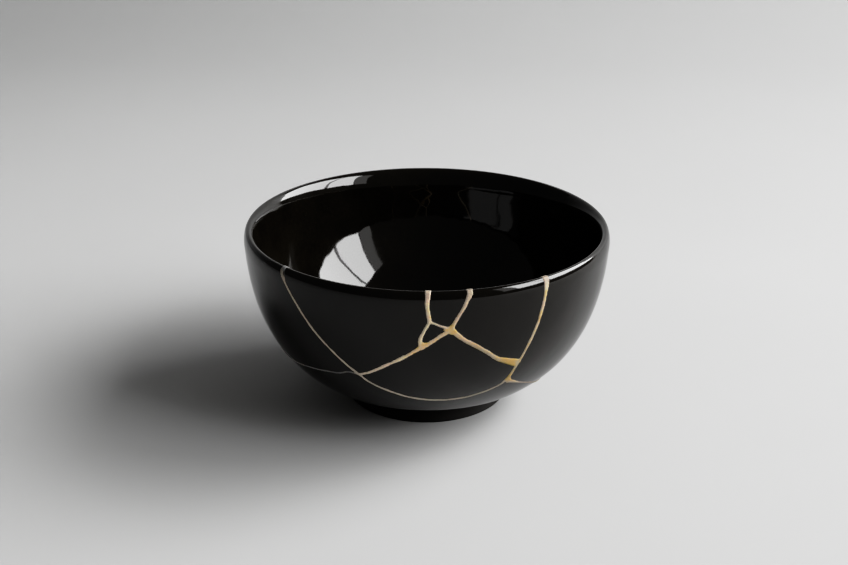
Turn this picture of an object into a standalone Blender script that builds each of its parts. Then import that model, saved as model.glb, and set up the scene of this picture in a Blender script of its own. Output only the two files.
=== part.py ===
"""Kintsugi bowl: a turned stoneware bowl in black glaze, in seven shards joined by gold lacquer.

Metres, +Z up. The origin is on the ground under the middle of the foot, and -Y is the front,
where the mended cracks are. Each shard is an object of its own, cut from one turned bowl, and
the gold lacquer that fills the cracks is one branching piece.

A crack is a route over the outer wall, given as (bearing, level) pairs: the bearing in degrees
from the front, positive towards +X, and the level as a share of the bowl's height. A sheet runs
from the route straight through the wall. Thickened to the seam's width it is gold, and with a
gap on each side it is the slot that parts the shards.
"""

import math

import bmesh
import bpy
from mathutils import Matrix, Vector
from mathutils.bvhtree import BVHTree
from mathutils.geometry import intersect_line_line_2d

# The turned bowl
RIM_DIAMETER = 0.150
BOWL_HEIGHT = 0.0755
UPPER_WALL = 0.0058
FLOOR_THICKNESS = 0.0047
FOOT_DIAMETER = 0.069
FOOT_NECK_DIAMETER = 0.0664
FOOT_HEIGHT = 0.0062
FOOT_RING_WIDTH = 0.0048
FOOT_RECESS = 0.0038
FOOT_EDGE = 0.0005

# The wall's curve: its slope at the foot and lean at the lip, and how far each handle of the
# curve reaches over the wall's own width and height
BELLY_SLOPE = math.radians(17.5)
BELLY_REACH = 0.80
LIP_LEAN = math.radians(2.8)
LIP_REACH = 0.426

# The inner face's curve, which rises in one sweep from the middle of the floor: its lean where
# the lip's roll starts, and the reach of its handles over its own width and height
INNER_LEAN = math.radians(6.0)
FLOOR_REACH = 0.65
INNER_REACH = 0.58

# The lip: how far in and down its outer round goes, how far below the rim the roll on its inner
# side starts, and the handles of the roll's curve as a share of its two sides
LIP_WIDTH = 0.0019
LIP_DROP = 0.0050
LIP_ROLL = 0.0102
ROLL_REACH = 0.52

# Gold lacquer
FINE_SEAM = 0.0009
PLAIN_SEAM = 0.0013
BROAD_SEAM = 0.0018
GOLD_RISE = 0.0003
SHARD_GAP = 0.0003

# Fineness of the faceted solids
TURNING_STEPS = 60
WALL_STEPS = 12
INNER_STEPS = 13
LIP_ROUND_STEPS = 4
LIP_ROLL_STEPS = 4
STATION_SPACING = 0.0050
FILL_SIDES = 10

# How far a sheet runs past each side of the wall, and a seam up past the rim
OVERSHOOT = 0.0020
RIM_OVERSHOOT = 0.0030

# Faces that meet at more than this angle keep a sharp edge between them
SHARP_ANGLE = math.radians(32.0)

# Fineness of the sums: the share of a curve over which its direction is taken, the halvings in a
# search along it, and the distance at which points on the turning axis become one
DIRECTION_SHARE = 1e-4
SEARCH_HALVINGS = 40
MERGE_DISTANCE = 0.00001

# Where cracks meet
WEST = (-21.7, 0.492)
CHIP_FOOT = (-1.5, 0.701)
CHIP_TOP = (0.8, 0.850)
CHIP_EAST = (6.8, 0.804)
EAST = (29.8, 0.548)
SOUTH_EAST = (27.4, 0.431)

# Where cracks reach the rim
RIM_WEST = (-46.2, 1.0)
RIM_CHIP_WEST = (0.3, 1.0)
RIM_CHIP_EAST = (12.3, 1.0)
RIM_EAST = (36.2, 1.0)

# Each crack: seam width and route. The last runs round the hidden back, low on the wall.
CRACKS = {
    "west": (FINE_SEAM, [RIM_WEST, (-46.3, 0.97), (-42.1, 0.866), (-36.2, 0.734), (-28.8, 0.601), WEST]),
    "lower_arc": (
        FINE_SEAM,
        [WEST, (-18.1, 0.442), (-8.2, 0.369), (1.6, 0.337), (12.7, 0.338), (23.3, 0.385), SOUTH_EAST],
    ),
    "middle_west": (PLAIN_SEAM, [WEST, (-18.2, 0.519), (-13.5, 0.567), (-8.5, 0.622), CHIP_FOOT]),
    "chip_south": (PLAIN_SEAM, [CHIP_FOOT, (3.2, 0.759), CHIP_EAST]),
    "chip_west": (PLAIN_SEAM, [CHIP_FOOT, (-1.6, 0.755), CHIP_TOP]),
    "chip_north": (FINE_SEAM, [CHIP_TOP, (3.4, 0.830), CHIP_EAST]),
    "rim_chip_west": (PLAIN_SEAM, [CHIP_TOP, (0.1, 0.940), RIM_CHIP_WEST]),
    "rim_chip_east": (PLAIN_SEAM, [CHIP_EAST, (9.4, 0.893), RIM_CHIP_EAST]),
    "middle_east": (BROAD_SEAM, [CHIP_EAST, (11.1, 0.738), (17.6, 0.658), (22.0, 0.596), EAST]),
    "east": (PLAIN_SEAM, [RIM_EAST, (35.3, 0.880), (33.2, 0.710), EAST]),
    "south_east": (PLAIN_SEAM, [EAST, (28.9, 0.500), SOUTH_EAST]),
    "back": (
        FINE_SEAM,
        [
            WEST,
            (-25.6, 0.496),
            (-30.4, 0.467),
            (-42.5, 0.430),
            (-55.0, 0.395),
            (-85.0, 0.360),
            (-115.0, 0.290),
            (-145.0, 0.205),
            (-175.0, 0.170),
            (-205.0, 0.180),
            (-235.0, 0.195),
            (-265.0, 0.205),
            (-290.0, 0.217),
            (-307.0, 0.260),
            (-319.0, 0.336),
            (-328.5, 0.394),
            (SOUTH_EAST[0] - 360.0, SOUTH_EAST[1]),
        ],
    ),
}

# Cracks whose route goes on up over the rim, with the end at which it does
RIM_ENDS = {"west": 0, "rim_chip_west": -1, "rim_chip_east": -1, "east": 0}

# Gold that fills a lost corner where cracks meet or reach the rim: place and radius
FILLS = {
    "west": (WEST, 0.0009),
    "chip_foot": (CHIP_FOOT, 0.0013),
    "chip_top": (CHIP_TOP, 0.0010),
    "chip_east": (CHIP_EAST, 0.0014),
    "east": (EAST, 0.0012),
    "east_blob": ((27.2, 0.555), 0.0017),
    "south_east": (SOUTH_EAST, 0.0012),
    "rim_chip_west": (RIM_CHIP_WEST, 0.0014),
    "rim_chip_east": (RIM_CHIP_EAST, 0.0013),
    "rim_east": (RIM_EAST, 0.0012),
}

# A place on the outer wall that lies on each shard
SHARD_PLACES = {
    "base_shard": (0.0, 0.15),
    "back_wall_shard": (180.0, 0.80),
    "left_front_shard": (-25.0, 0.80),
    "rim_chip_shard": (5.0, 0.92),
    "small_triangle_shard": (2.0, 0.800),
    "right_front_shard": (22.0, 0.85),
    "lower_front_shard": (5.0, 0.50),
}

GLAZE = ("black_glaze", (0.008, 0.008, 0.009), 0.08, 0.0)
GOLD = ("gold_lacquer", (0.60, 0.42, 0.18), 0.38, 1.0)


def clear_scene():
    for obj in list(bpy.data.objects):
        bpy.data.objects.remove(obj, do_unlink=True)


def make_collection(name, hidden=False):
    collection = bpy.data.collections.new(name)
    collection.hide_render = hidden
    bpy.context.scene.collection.children.link(collection)
    return collection


def make_material(name, colour, roughness, metallic):
    material = bpy.data.materials.new(name)
    material.use_nodes = True
    shader = material.node_tree.nodes["Principled BSDF"]
    shader.inputs["Base Color"].default_value = (*colour, 1.0)
    shader.inputs["Roughness"].default_value = roughness
    shader.inputs["Metallic"].default_value = metallic
    material.diffuse_color = (*colour, 1.0)
    return material


def make_object(name, mesh, collection, helper=False):
    """A new object on the mesh. A helper is left out of renders and drawn as wire."""
    obj = bpy.data.objects.new(name, mesh)
    obj.hide_render = helper
    if helper:
        obj.display_type = "WIRE"
    collection.objects.link(obj)
    return obj


def evaluated_mesh(obj):
    """A copy of the object's mesh with its modifiers applied."""
    graph = bpy.context.evaluated_depsgraph_get()
    graph.update()
    return bpy.data.meshes.new_from_object(obj.evaluated_get(graph))


def point_on_cubic(controls, share):
    """The point at a share of a Bezier curve's run, from its four control points."""
    rest = 1.0 - share
    weights = (rest**3, 3.0 * rest**2 * share, 3.0 * rest * share**2, share**3)
    return sum((weight * point for weight, point in zip(weights, controls)), Vector((0.0, 0.0)))


def frame_on_cubic(controls, share):
    """The point at a share of the curve's run, and the unit normal on the right of its direction."""
    before = point_on_cubic(controls, max(share - DIRECTION_SHARE, 0.0))
    after = point_on_cubic(controls, min(share + DIRECTION_SHARE, 1.0))
    along = (after - before).normalized()
    return point_on_cubic(controls, share), Vector((along.y, -along.x))


def lip_turn():
    """The angle below level at which the lip's outer round meets the outer wall."""
    return math.atan(LIP_DROP / LIP_WIDTH * math.tan(LIP_LEAN))


def lip_frame(angle):
    """The point of the lip's outer round at an angle above level, and its outward normal."""
    centre = Vector((RIM_DIAMETER / 2.0 - LIP_WIDTH, BOWL_HEIGHT - LIP_DROP))
    across, up = math.cos(angle), math.sin(angle)
    point = centre + Vector((LIP_WIDTH * across, LIP_DROP * up))
    return point, Vector((across / LIP_WIDTH, up / LIP_DROP)).normalized()


def wall_controls():
    """The outer wall's curve from the foot's neck to the lip, as four (radius, height) controls."""
    lip = lip_frame(-lip_turn())[0]
    neck = Vector((FOOT_NECK_DIAMETER / 2.0, FOOT_HEIGHT))
    belly_handle = BELLY_REACH * (lip.x - neck.x) * Vector((math.cos(BELLY_SLOPE), math.sin(BELLY_SLOPE)))
    lip_handle = LIP_REACH * (lip.y - neck.y) * Vector((math.sin(LIP_LEAN), math.cos(LIP_LEAN)))
    return [neck, neck + belly_handle, lip - lip_handle, lip]


def wall_share_at(height):
    """The share of the outer wall's curve at which it reaches a height."""
    controls = wall_controls()
    low, high = 0.0, 1.0
    for _ in range(SEARCH_HALVINGS):
        middle = (low + high) / 2.0
        if point_on_cubic(controls, middle).y < height:
            low = middle
        else:
            high = middle
    return low


def wall_frame_at(height):
    """The outer wall's point at a height and its outward normal.

    Above the point where the lip's round starts the wall is taken to run straight on up.
    """
    point, normal = frame_on_cubic(wall_controls(), wall_share_at(height))
    if height > point.y:
        point = Vector((point.x, height))
    return point, normal


def wall_frames():
    """Frames of the outer wall from the foot's neck to the lip."""
    controls = wall_controls()
    return [frame_on_cubic(controls, step / WALL_STEPS) for step in range(WALL_STEPS + 1)]


def inner_frames():
    """Frames of the inner face from the middle of the floor to the lip's roll."""
    height = BOWL_HEIGHT - LIP_ROLL
    outside = point_on_cubic(wall_controls(), wall_share_at(height))
    top = Vector((outside.x - UPPER_WALL, height))
    middle = Vector((0.0, FOOT_RECESS + FLOOR_THICKNESS))
    along_the_floor = Vector((FLOOR_REACH * top.x, 0.0))
    up_the_wall = Vector((math.sin(INNER_LEAN), math.cos(INNER_LEAN)))
    wall_handle = INNER_REACH * (top.y - middle.y) * up_the_wall
    controls = [middle, middle + along_the_floor, top - wall_handle, top]
    frames = [frame_on_cubic(controls, step / INNER_STEPS) for step in range(INNER_STEPS + 1)]
    return [(point, -right) for point, right in frames]


def wall_depth(height):
    """The wall's thickness along the outer wall's normal, at a height of the outer wall.

    Where the normal runs in over the inner face, at the lip, it is taken as the upper wall's.
    """
    point, normal = wall_frame_at(height)
    far = point - RIM_DIAMETER / 4.0 * normal
    inner = [place for place, _ in inner_frames()]
    for low, high in zip(inner, inner[1:]):
        crossing = intersect_line_line_2d(point, far, low, high)
        if crossing is not None:
            return (point - crossing).length
    return UPPER_WALL


def lip_frames(inner_end):
    """Frames over the lip, from the inner face's end up its soft roll and down its outer round."""
    point, normal = inner_end
    crest = Vector((RIM_DIAMETER / 2.0 - LIP_WIDTH, BOWL_HEIGHT))
    up_the_wall = Vector((normal.y, -normal.x))
    roll_controls = [
        point,
        point + ROLL_REACH * (crest.y - point.y) * up_the_wall,
        crest - Vector((ROLL_REACH * (crest.x - point.x), 0.0)),
        crest,
    ]
    frames = []
    for step in range(1, LIP_ROLL_STEPS + 1):
        place, right = frame_on_cubic(roll_controls, step / LIP_ROLL_STEPS)
        frames.append((place, -right))
    sweep = math.pi / 2.0 + lip_turn()
    for step in range(1, LIP_ROUND_STEPS):
        frames.append(lip_frame(math.pi / 2.0 - sweep * step / LIP_ROUND_STEPS))
    return frames


def foot_points():
    """The foot ring and the recess inside it as (radius, height), from the outside in."""
    outside = FOOT_DIAMETER / 2.0
    inside = outside - FOOT_RING_WIDTH
    return [
        Vector((outside, FOOT_EDGE)),
        Vector((outside - FOOT_EDGE, 0.0)),
        Vector((inside + FOOT_EDGE, 0.0)),
        Vector((inside, FOOT_EDGE)),
        Vector((inside - FOOT_EDGE, FOOT_RECESS)),
        Vector((0.0, FOOT_RECESS)),
    ]


def bowl_profile(rise=0.0):
    """The bowl's section as (radius, height), from the inside's middle over the lip to the underside's.

    A rise moves the inner face, the lip and the outer wall out by that much.
    """
    inner = inner_frames()
    outer = wall_frames()[::-1]
    skin = [point + rise * normal for point, normal in inner + lip_frames(inner[-1]) + outer]
    skin[0].x = 0.0
    return skin + foot_points()


def turned_object(name, profile, collection):
    """A solid of revolution: the profile as an edge chain with a Screw modifier."""
    mesh = bpy.data.meshes.new(name)
    shape = bmesh.new()
    points = [shape.verts.new((point.x, 0.0, point.y)) for point in profile]
    for first, second in zip(points, points[1:]):
        shape.edges.new((first, second))
    shape.to_mesh(mesh)
    shape.free()
    obj = make_object(name, mesh, collection, helper=True)
    screw = obj.modifiers.new("turning", "SCREW")
    screw.axis = "Z"
    screw.angle = 2.0 * math.pi
    screw.steps = TURNING_STEPS
    screw.render_steps = TURNING_STEPS
    screw.use_merge_vertices = True
    screw.merge_threshold = MERGE_DISTANCE
    return obj


def wall_station(bearing, height):
    """A point on the outer wall and the outward normal there, in the bowl's frame."""
    point, normal = wall_frame_at(height)
    angle = math.radians(bearing)
    outwards = Vector((math.sin(angle), -math.cos(angle), 0.0))
    up = Vector((0.0, 0.0, 1.0))
    return point.x * outwards + point.y * up, normal.x * outwards + normal.y * up


def smooth_route(points):
    """Evenly spread (bearing, height) stations on a smooth curve through the route's points."""
    corners = [Vector((bearing, level * BOWL_HEIGHT)) for bearing, level in points]
    ends = [2.0 * corners[0] - corners[1], 2.0 * corners[-1] - corners[-2]]
    chain = [ends[0], *corners, ends[1]]
    stations = []
    for before, start, end, after in zip(chain, chain[1:], chain[2:], chain[3:]):
        run = (wall_station(*end)[0] - wall_station(*start)[0]).length
        count = max(1, math.ceil(run / STATION_SPACING))
        for step in range(count):
            share = step / count
            line = 2.0 * start + share * (end - before)
            bend = share**2 * (2.0 * before - 5.0 * start + 4.0 * end - after)
            turn = share**3 * (-before + 3.0 * start - 3.0 * end + after)
            stations.append((line + bend + turn) / 2.0)
    stations.append(corners[-1])
    return stations


def crack_stations(crack):
    """The route's stations, with one more past the rim where the crack runs over it."""
    stations = smooth_route(CRACKS[crack][1])
    end = RIM_ENDS.get(crack)
    if end is not None:
        over = Vector((stations[end].x, BOWL_HEIGHT + RIM_OVERSHOOT))
        stations.insert(0 if end == 0 else len(stations), over)
    return stations


def crack_sheet(name, crack, width, collection):
    """The crack's sheet through the wall, with Solidify to a width."""
    mesh = bpy.data.meshes.new(name)
    shape = bmesh.new()
    columns = []
    for bearing, height in crack_stations(crack):
        point, normal = wall_station(bearing, height)
        outer = shape.verts.new(point + OVERSHOOT * normal)
        inner = shape.verts.new(point - (wall_depth(height) + OVERSHOOT) * normal)
        columns.append((outer, inner))
    for (outer, inner), (next_outer, next_inner) in zip(columns, columns[1:]):
        shape.faces.new((outer, inner, next_inner, next_outer))
    shape.to_mesh(mesh)
    shape.free()
    obj = make_object(name, mesh, collection, helper=True)
    solid = obj.modifiers.new("width", "SOLIDIFY")
    solid.thickness = width
    solid.offset = 0.0
    solid.use_even_offset = True
    return obj


def fill_plug(name, place, radius, collection):
    """A round plug through the wall at a place on it."""
    mesh = bpy.data.meshes.new(name)
    shape = bmesh.new()
    height = place[1] * BOWL_HEIGHT
    depth = wall_depth(height)
    length = depth + 2.0 * OVERSHOOT
    bmesh.ops.create_cone(
        shape, cap_ends=True, segments=FILL_SIDES, radius1=radius, radius2=radius, depth=length
    )
    point, normal = wall_station(place[0], height)
    centre = point - depth / 2.0 * normal
    turn = normal.to_track_quat("Z", "Y").to_matrix().to_4x4()
    shape.transform(Matrix.Translation(centre) @ turn)
    shape.to_mesh(mesh)
    shape.free()
    return make_object(name, mesh, collection, helper=True)


def crack_network(name, gap, collection):
    """All seams and fills, each with a gap round it, joined into one closed mesh.

    Seams end in shared points, where the exact solver can drop one, so the manifold one joins them.
    """
    pieces = [
        crack_sheet(f"{name}_{crack}_seam", crack, width + 2.0 * gap, collection)
        for crack, (width, _) in CRACKS.items()
    ]
    pieces += [
        fill_plug(f"{name}_{fill}_fill", place, radius + gap, collection)
        for fill, (place, radius) in FILLS.items()
    ]
    for piece in pieces:
        mesh = evaluated_mesh(piece)
        piece.modifiers.clear()
        piece.data = mesh
    network = pieces[0]
    for piece in pieces[1:]:
        add_boolean(network, piece, "UNION", solver="MANIFOLD")
    joined = make_object(name, evaluated_mesh(network), collection, helper=True)
    for piece in pieces:
        bpy.data.objects.remove(piece, do_unlink=True)
    return joined


def add_boolean(obj, other, operation, solver="EXACT"):
    modifier = obj.modifiers.new(f"{operation.lower()} {other.name}", "BOOLEAN")
    modifier.operation = operation
    modifier.solver = solver
    modifier.object = other


def finish_mesh(mesh, material):
    mesh.materials.clear()
    mesh.materials.append(material)
    mesh.shade_smooth()
    mesh.set_sharp_from_angle(angle=SHARP_ANGLE)


def loose_parts(mesh):
    """The mesh's separate bodies, each as a bmesh."""
    whole = bmesh.new()
    whole.from_mesh(mesh)
    left = set(whole.faces)
    parts = []
    while left:
        seed = left.pop()
        found = {seed}
        edge_of_search = [seed]
        while edge_of_search:
            face = edge_of_search.pop()
            for edge in face.edges:
                for neighbour in edge.link_faces:
                    if neighbour in left:
                        left.remove(neighbour)
                        found.add(neighbour)
                        edge_of_search.append(neighbour)
        part = whole.copy()
        keep = {face.index for face in found}
        others = [face for face in part.faces if face.index not in keep]
        bmesh.ops.delete(part, geom=others, context="FACES")
        parts.append(part)
    whole.free()
    return parts


def part_at(parts, place):
    """The part whose surface is nearest to a place on the outer wall."""
    point = wall_station(place[0], place[1] * BOWL_HEIGHT)[0]
    return min(parts, key=lambda part: BVHTree.FromBMesh(part).find_nearest(point)[3])


def build_shards(bowl, slots, collection, parent, material):
    """Cuts the bowl along the slots and makes each loose part the shard that lies at its place."""
    add_boolean(bowl, slots, "DIFFERENCE")
    parts = loose_parts(evaluated_mesh(bowl))
    for name, place in SHARD_PLACES.items():
        part = part_at(parts, place)
        mesh = bpy.data.meshes.new(name)
        part.to_mesh(mesh)
        finish_mesh(mesh, material)
        shard = make_object(name, mesh, collection)
        shard.parent = parent
    for part in parts:
        part.free()


def build_gold(network, skin, collection, parent, material):
    """The gold lacquer: the crack network, trimmed to just proud of the wall."""
    add_boolean(network, skin, "INTERSECT", solver="MANIFOLD")
    mesh = evaluated_mesh(network)
    finish_mesh(mesh, material)
    gold = make_object("gold_lacquer_seams", mesh, collection)
    gold.parent = parent


def main():
    clear_scene()
    parts = make_collection("kintsugi_bowl")
    cutters = make_collection("cutters", hidden=True)
    parent = bpy.data.objects.new("bowl_origin", None)
    parts.objects.link(parent)

    bowl = turned_object("whole_bowl", bowl_profile(), cutters)
    skin = turned_object("gold_skin", bowl_profile(GOLD_RISE), cutters)
    slots = crack_network("slots", SHARD_GAP, cutters)
    network = crack_network("seams", 0.0, cutters)

    build_shards(bowl, slots, parts, parent, make_material(*GLAZE))
    build_gold(network, skin, parts, parent, make_material(*GOLD))


main()
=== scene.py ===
"""Looks of the kintsugi bowl: seven glazed shards, their gold lacquer and a pale studio.

Metres, +Z up, origin on the ground under the middle of the foot. The front, where the seams
branch, faces -Y. A place on the outer wall is a bearing, in degrees from the front and positive
towards +X, with a level, the share of the bowl's height.

The shards are cut from one finely turned bowl along thin cracks. The gold is a bead that lies
over the cracks. Its relief is worked out on a sheet wrapped over the glaze: each point's depth
inside the nearest seam gives its height, and neighbouring seams flow into each other. Where a
corner was lost, the gold fills a cut patch.
"""

import logging
import math
from dataclasses import dataclass, field
from enum import Enum

import bmesh
import bpy
import numpy as np
from mathutils import Matrix, Vector, noise
from mathutils.bvhtree import BVHTree


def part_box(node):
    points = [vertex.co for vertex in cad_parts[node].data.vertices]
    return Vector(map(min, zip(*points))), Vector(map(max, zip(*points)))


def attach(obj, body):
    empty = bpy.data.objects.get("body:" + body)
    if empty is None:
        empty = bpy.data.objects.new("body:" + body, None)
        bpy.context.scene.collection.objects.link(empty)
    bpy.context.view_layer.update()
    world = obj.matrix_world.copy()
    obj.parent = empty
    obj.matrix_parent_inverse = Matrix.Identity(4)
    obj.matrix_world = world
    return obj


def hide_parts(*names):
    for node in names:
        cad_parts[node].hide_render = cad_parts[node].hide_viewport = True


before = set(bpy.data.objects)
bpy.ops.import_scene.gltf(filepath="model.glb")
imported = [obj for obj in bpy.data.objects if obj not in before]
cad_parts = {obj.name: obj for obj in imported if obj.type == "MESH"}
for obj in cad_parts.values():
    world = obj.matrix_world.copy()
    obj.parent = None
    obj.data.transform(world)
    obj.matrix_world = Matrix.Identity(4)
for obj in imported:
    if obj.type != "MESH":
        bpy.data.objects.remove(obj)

LOG = logging.getLogger("kintsugi_bowl")

Place = tuple[float, float]
Socket = bpy.types.NodeSocket


class SeamWidth(Enum):
    """How wide a seam was laid, in metres."""

    FINE = 0.0009
    PLAIN = 0.0013
    BROAD = 0.0018


class SeamTone(Enum):
    """How bright and warm a seam's gold is: 0 for rubbed and grey, 1 for full gold."""

    GREY = 0.0
    DULL = 0.34
    WORN = 0.43
    PALE = 0.66
    WARM = 0.85
    FULL = 1.0


class RimEnd(Enum):
    """The end at which a seam's route runs on over the rim."""

    NONE = "none"
    START = "start"
    FINISH = "finish"


def cubic(controls: np.ndarray, shares: np.ndarray) -> np.ndarray:
    """Points on a Bezier curve.

    Args:
        controls: The four control points, one a row.
        shares: How far along the curve each point lies, from 0 to 1.

    Returns:
        One point a row.
    """
    ahead = shares[:, None]
    rest = 1.0 - ahead
    weights = (rest**3, 3.0 * rest**2 * ahead, 3.0 * rest * ahead**2, ahead**3)
    return sum(weight * control for weight, control in zip(weights, controls))


def cubic_right(controls: np.ndarray, shares: np.ndarray) -> np.ndarray:
    """Unit normals on the right of a Bezier curve's direction.

    Args:
        controls: The four control points, one a row.
        shares: How far along the curve each normal stands.

    Returns:
        One unit normal a row.
    """
    ahead = shares[:, None]
    rest = 1.0 - ahead
    sides = np.diff(controls, axis=0)
    slope = rest**2 * sides[0] + 2.0 * rest * ahead * sides[1] + ahead**2 * sides[2]
    slope /= np.linalg.norm(slope, axis=1)[:, None]
    return np.stack([slope[:, 1], -slope[:, 0]], axis=1)


@dataclass
class BowlForm:
    """The turned bowl's section, all as (radius, height)."""

    rim_radius: float
    height: float
    upper_wall: float = 0.0058
    floor_thickness: float = 0.0047
    inner_lean: float = math.radians(6.0)
    floor_reach: float = 0.65
    inner_reach: float = 0.58
    lip_width: float = 0.0019
    lip_drop: float = 0.0050
    lip_roll: float = 0.0102
    roll_reach: float = 0.52
    foot_radius: float = 0.0345
    neck_radius: float = 0.0332
    foot_height: float = 0.0062
    foot_ring_width: float = 0.0048
    foot_recess: float = 0.0038
    foot_edge: float = 0.0005
    belly_slope: float = math.radians(17.5)
    belly_reach: float = 0.80
    lip_lean: float = math.radians(2.8)
    lip_reach: float = 0.426
    floor_share: float = 0.30
    wall_steps: int = 64
    inner_steps: int = 64
    roll_steps: int = 14
    round_steps: int = 12
    floor_steps: int = 18
    edge_steps: int = 4
    foot_steps: int = 5
    turning_steps: int = 240
    search_steps: int = 4000
    merge_distance: float = 1e-6

    def wall_controls(self) -> np.ndarray:
        """The outer wall's curve from the foot's neck to the lip.

        Returns:
            Four control points, one a row.
        """
        lip = self.round()[0][-1]
        neck = np.array([self.neck_radius, self.foot_height])
        belly = np.array([math.cos(self.belly_slope), math.sin(self.belly_slope)])
        upright = np.array([math.sin(self.lip_lean), math.cos(self.lip_lean)])
        belly_handle = self.belly_reach * (lip[0] - neck[0]) * belly
        lip_handle = self.lip_reach * (lip[1] - neck[1]) * upright
        return np.array([neck, neck + belly_handle, lip - lip_handle, lip])

    def inner_controls(self) -> np.ndarray:
        """The inner face's curve, in one sweep from the middle of the floor to the lip's roll.

        Returns:
            Four control points, one a row.
        """
        height = self.height - self.lip_roll
        outside = self.outer_wall(np.array([self.share_at(height)]))[0][0]
        top = np.array([outside[0] - self.upper_wall, height])
        middle = np.array([0.0, self.foot_recess + self.floor_thickness])
        along_the_floor = np.array([self.floor_reach * top[0], 0.0])
        up_the_wall = self.inner_reach * (top[1] - middle[1]) * self.upright()
        return np.array([middle, middle + along_the_floor, top - up_the_wall, top])

    def upright(self) -> np.ndarray:
        """The inner face's direction where the lip's roll starts."""
        return np.array([math.sin(self.inner_lean), math.cos(self.inner_lean)])

    def share_at(self, height: float) -> float:
        """The share of the outer wall's curve at which it reaches a height."""
        shares = np.linspace(0.0, 1.0, self.search_steps + 1)
        return float(np.interp(height, cubic(self.wall_controls(), shares)[:, 1], shares))

    def outer_wall(self, shares: np.ndarray) -> tuple[np.ndarray, np.ndarray]:
        """Points and outward normals of the outer wall at shares of its curve."""
        controls = self.wall_controls()
        return cubic(controls, shares), cubic_right(controls, shares)

    def roll(self) -> tuple[np.ndarray, np.ndarray]:
        """The inner wall's soft roll up to the crest of the rim.

        Returns:
            Points and normals that face out of the clay, from the inner wall to the crest.
        """
        start = self.inner_controls()[-1]
        crest = self.round()[0][0]
        run, rise = crest - start
        level = np.array([self.roll_reach * run, 0.0])
        steep = self.roll_reach * rise * self.upright()
        controls = np.array([start, start + steep, crest - level, crest])
        shares = np.linspace(0.0, 1.0, self.roll_steps + 1)
        return cubic(controls, shares), -cubic_right(controls, shares)

    def round(self) -> tuple[np.ndarray, np.ndarray]:
        """The lip's outer round, from the crest down to the outer wall.

        Returns:
            Points and outward unit normals, one a row.
        """
        turn = math.atan(self.lip_drop / self.lip_width * math.tan(self.lip_lean))
        angles = np.linspace(math.pi / 2.0, -turn, self.round_steps + 1)
        outwards = np.stack([np.cos(angles), np.sin(angles)], axis=1)
        sides = np.array([self.lip_width, self.lip_drop])
        points = np.array([self.rim_radius, self.height]) - sides + sides * outwards
        normals = outwards / sides
        return points, normals / np.linalg.norm(normals, axis=1)[:, None]

    def skin(self) -> tuple[np.ndarray, np.ndarray]:
        """The glazed surface from the floor's edge inside over the rim to the outer wall's neck.

        Returns:
            Points and the normals that face out of the clay.
        """
        controls = self.inner_controls()
        shares = np.linspace(self.floor_share, 1.0, self.inner_steps + 1)[:-1]
        roll_point, roll_normal = self.roll()
        round_point, round_normal = self.round()
        outer_point, outer_normal = self.outer_wall(np.linspace(1.0, 0.0, self.wall_steps + 1))
        inner_point, inner_normal = cubic(controls, shares), -cubic_right(controls, shares)
        points = np.vstack([inner_point, roll_point, round_point[1:-1], outer_point])
        normals = np.vstack([inner_normal, roll_normal, round_normal[1:-1], outer_normal])
        return points, normals

    def floor(self) -> np.ndarray:
        """The inside's floor, from its middle to just short of where the skin starts."""
        shares = np.linspace(0.0, self.floor_share, self.floor_steps + 1)[:-1]
        return cubic(self.inner_controls(), shares)

    def corner(self, centre: Place, start: float, finish: float, radius: float) -> np.ndarray:
        """A rounded edge of the foot ring.

        Args:
            centre: The middle of the round.
            start: The angle at which it starts, in degrees.
            finish: The angle at which it ends.
            radius: The round's radius.

        Returns:
            Points on the arc, one a row.
        """
        angles = np.radians(np.linspace(start, finish, self.edge_steps + 1))
        arc = np.stack([np.cos(angles), np.sin(angles)], axis=1)
        return np.array(centre) + radius * arc

    def foot(self) -> np.ndarray:
        """The foot from just under the neck down the ring, across it and up into the recess.

        Returns:
            Points, one a row.
        """
        edge = self.foot_edge
        inside = self.foot_radius - self.foot_ring_width
        ceiling = self.foot_recess
        neck = np.array([self.neck_radius, self.foot_height])
        waist = neck + np.array([-edge / 2.0, -edge])
        swell = np.array([self.foot_radius - edge, 4.0 * edge])
        side = np.array([self.foot_radius, 2.0 * edge])
        controls = np.array([neck, waist, swell, side])
        flare = cubic(controls, np.linspace(0.0, 1.0, self.foot_steps + 1))[1:]
        outer_edge = self.corner((self.foot_radius - edge, edge), 0.0, -90.0, edge)
        inner_edge = self.corner((inside + edge, edge), -90.0, -180.0, edge)
        hollow = self.corner((inside - 2.0 * edge, ceiling - edge), 0.0, 90.0, edge)
        middle = np.array([[0.0, ceiling]])
        return np.vstack([flare, outer_edge, inner_edge, hollow, middle])

    def section(self) -> np.ndarray:
        """The whole section from the inside's middle over the rim to the underside's middle."""
        return np.vstack([self.floor(), self.skin()[0], self.foot()])

    def turned(self) -> bpy.types.Mesh:
        """The whole bowl as one closed mesh.

        Returns:
            The mesh, turned about +Z.
        """
        mesh = bpy.data.meshes.new("turned_bowl")
        section = self.section()
        edges = [(index, index + 1) for index in range(len(section) - 1)]
        mesh.from_pydata([(radius, 0.0, height) for radius, height in section], edges, [])
        holder = held("turned_bowl", mesh)
        screw = holder.modifiers.new("turning", "SCREW")
        screw.axis = "Z"
        screw.angle = 2.0 * math.pi
        screw.steps = self.turning_steps
        screw.render_steps = self.turning_steps
        screw.use_merge_vertices = True
        screw.merge_threshold = self.merge_distance
        turned = evaluated(holder)
        discard(holder)
        return turned


def evaluated(holder: bpy.types.Object) -> bpy.types.Mesh:
    """A copy of an object's mesh with its modifiers applied.

    Args:
        holder: The object, which stays as it is.

    Returns:
        The new mesh.
    """
    graph = bpy.context.evaluated_depsgraph_get()
    graph.update()
    return bpy.data.meshes.new_from_object(holder.evaluated_get(graph))


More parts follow.
